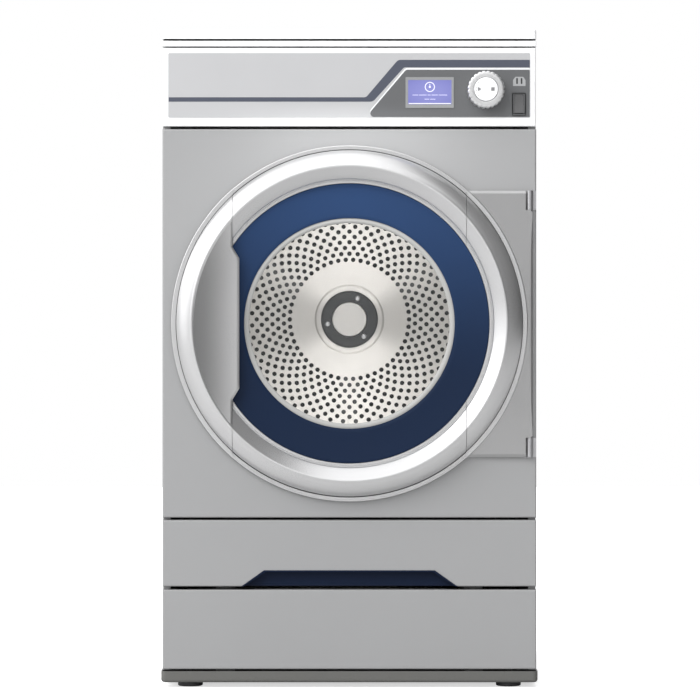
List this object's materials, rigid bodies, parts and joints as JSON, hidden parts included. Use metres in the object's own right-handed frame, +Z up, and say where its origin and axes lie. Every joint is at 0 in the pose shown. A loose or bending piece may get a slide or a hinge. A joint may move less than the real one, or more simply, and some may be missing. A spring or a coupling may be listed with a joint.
{
  "type": "tumble dryer",
  "caption": "Free-standing front-loading tumble dryer with a round window door, knob and display fascia, lint drawer and rear exhaust.",
  "frame": {"origin": "centre of the bounding box at floor level, midway between the door's crest and the exhaust spigot's end", "axes": "+Z up, front faces -Y, +X to the right as seen from the front; the drum's axis runs along Y"},
  "size_m": [0.6, 0.71, 1.048],
  "materials": {
    "white_enamel": "smooth white powder coat",
    "grey_enamel": "satin grey powder coat with a faint vertical gradient",
    "galvanised": "galvanised sheet",
    "base_enamel": "satin warm-grey enamel",
    "stainless": "brushed stainless steel",
    "drum_steel": "radially brushed stainless steel",
    "ring_plastic": "silver-painted moulding",
    "blue_enamel": "dark blue satin moulding",
    "grip_blue": "dark blue moulded plastic",
    "overlay_film": "light grey printed film",
    "plate_grey": "dark grey printed panel",
    "screen_glass": "lit lavender display",
    "board": "green circuit board",
    "knob_silver": "satin anodised, ribbed edge",
    "black_plastic": "fine-grained black plastic",
    "dark_metal": "dark grey enamel",
    "zinc": "zinc-plated steel",
    "seal_rubber": "black rubber",
    "grey_rubber": "grey silicone rubber",
    "felt": "wool felt",
    "clear_glass": "clear toughened glass",
    "roller_rubber": "hard rubber tyre",
    "cast_alloy": "cast alloy",
    "fan_plastic": "moulded plastic",
    "mesh_steel": "fine wire mesh in a frame"
  },
  "bodies": {
    "cabinet": {"base_frame": "base_enamel", "levelling_feet": "black_plastic", "side_panel_left": "grey_enamel", "side_panel_right": "grey_enamel", "rear_panel": "galvanised", "panel_screws": "zinc", "top_panel": "white_enamel", "top_trim": "white_enamel", "fascia_panel": "white_enamel", "control_overlay": "overlay_film", "control_plate": "plate_grey", "display_screen": "screen_glass", "control_board": "board", "rocker_housing": "plate_grey", "front_panel": "grey_enamel", "service_panel": "grey_enamel", "loading_collar": "stainless", "door_seal": "seal_rubber", "door_catch": "black_plastic", "front_bulkhead": "galvanised", "rear_bulkhead": "galvanised", "drum_seals": "felt", "heater_housing": "galvanised", "heater_elements": "dark_metal", "drum_bearings": "stainless", "drum_motor": "cast_alloy", "drive_belt": "seal_rubber", "fan_housing": "galvanised", "fan_motor": "cast_alloy", "exhaust_duct": "galvanised", "cable_gland": "black_plastic", "drawer_housing": "galvanised", "hinge_brackets": "zinc", "hinge_pins": "zinc", "tension_spring": "zinc"},
    "door": {"door_back": "ring_plastic", "door_ring": "ring_plastic", "door_handle": "ring_plastic", "window_trim": "blue_enamel", "door_glass": "clear_glass", "window_gasket": "grey_rubber", "hinge_plate": "ring_plastic"},
    "drum": {"drum_shell": "stainless", "drum_back": "drum_steel", "hub_ring": "dark_metal", "hub_screws": "zinc", "drum_shaft": "cast_alloy", "drum_lifters": "stainless"},
    "motor_rotor": {"motor_rotor": "zinc"},
    "tensioner": {"tensioner_arm": "zinc"},
    "idler": {"idler_pulley": "black_plastic"},
    "roller_left": {"roller_left": "roller_rubber"},
    "roller_right": {"roller_right": "roller_rubber"},
    "fan": {"fan_impeller": "fan_plastic"},
    "knob": {"knob": "knob_silver"},
    "start_button": {"start_button": "knob_silver"},
    "rocker": {"rocker": "black_plastic"},
    "lint_drawer": {"lint_drawer": "grey_enamel", "drawer_grip": "grip_blue", "lint_screen": "mesh_steel"}
  },
  "joints": [
    {"name": "door_hinge", "type": "hinge", "parent": "cabinet", "child": "door", "pos_m": [0.287, -0.318, 0.58], "axis": [0, 0, 1], "range_deg": [0, 165]},
    {"name": "drum_spin", "type": "hinge", "parent": "cabinet", "child": "drum", "pos_m": [0, 0, 0.592], "axis": [0, 1, 0], "continuous": true},
    {"name": "motor_spin", "type": "hinge", "parent": "cabinet", "child": "motor_rotor", "pos_m": [0.2, 0.22, 0.2], "axis": [0, 1, 0], "continuous": true},
    {"name": "roller_left_spin", "type": "hinge", "parent": "cabinet", "child": "roller_left", "pos_m": [-0.17941, -0.247, 0.33577], "axis": [0, 1, 0], "continuous": true},
    {"name": "roller_right_spin", "type": "hinge", "parent": "cabinet", "child": "roller_right", "pos_m": [0.17941, -0.247, 0.33577], "axis": [0, 1, 0], "continuous": true},
    {"name": "tensioner_pivot", "type": "hinge", "parent": "cabinet", "child": "tensioner", "pos_m": [0.11, 0.1615, 0.15], "axis": [0, -1, 0], "range_deg": [0, 18], "stiffness_Nm_per_rad": 2, "springref_deg": -20.05, "deforming": ["tension_spring"]},
    {"name": "idler_spin", "type": "hinge", "parent": "tensioner", "child": "idler", "pos_m": [0.04928, 0.151, 0.22899], "axis": [0, 1, 0], "continuous": true},
    {"name": "fan_spin", "type": "hinge", "parent": "cabinet", "child": "fan", "pos_m": [-0.14, 0.15, 0.205], "axis": [0, 1, 0], "continuous": true},
    {"name": "knob_turn", "type": "hinge", "parent": "cabinet", "child": "knob", "pos_m": [0.2165, -0.325, 0.9507], "axis": [0, -1, 0], "continuous": true},
    {"name": "start_press", "type": "slide", "parent": "cabinet", "child": "start_button", "axis": [0, 1, 0], "range_m": [0, 0.0025], "stiffness_N_per_m": 800, "springref_m": -0.002},
    {"name": "rocker_tilt", "type": "hinge", "parent": "cabinet", "child": "rocker", "pos_m": [0.2697, -0.309, 0.9286], "axis": [1, 0, 0], "range_deg": [0, 16]},
    {"name": "drawer_slide", "type": "slide", "parent": "cabinet", "child": "lint_drawer", "axis": [0, -1, 0], "range_m": [0, 0.32]}
  ],
  "couplings": [
    {"joint": "motor_spin", "follows": "drum_spin", "ratio": 17.969},
    {"joint": "roller_left_spin", "follows": "drum_spin", "ratio": -11.5},
    {"joint": "roller_right_spin", "follows": "drum_spin", "ratio": -11.5},
    {"joint": "idler_spin", "follows": "drum_spin", "ratio": -15.972}
  ]
}
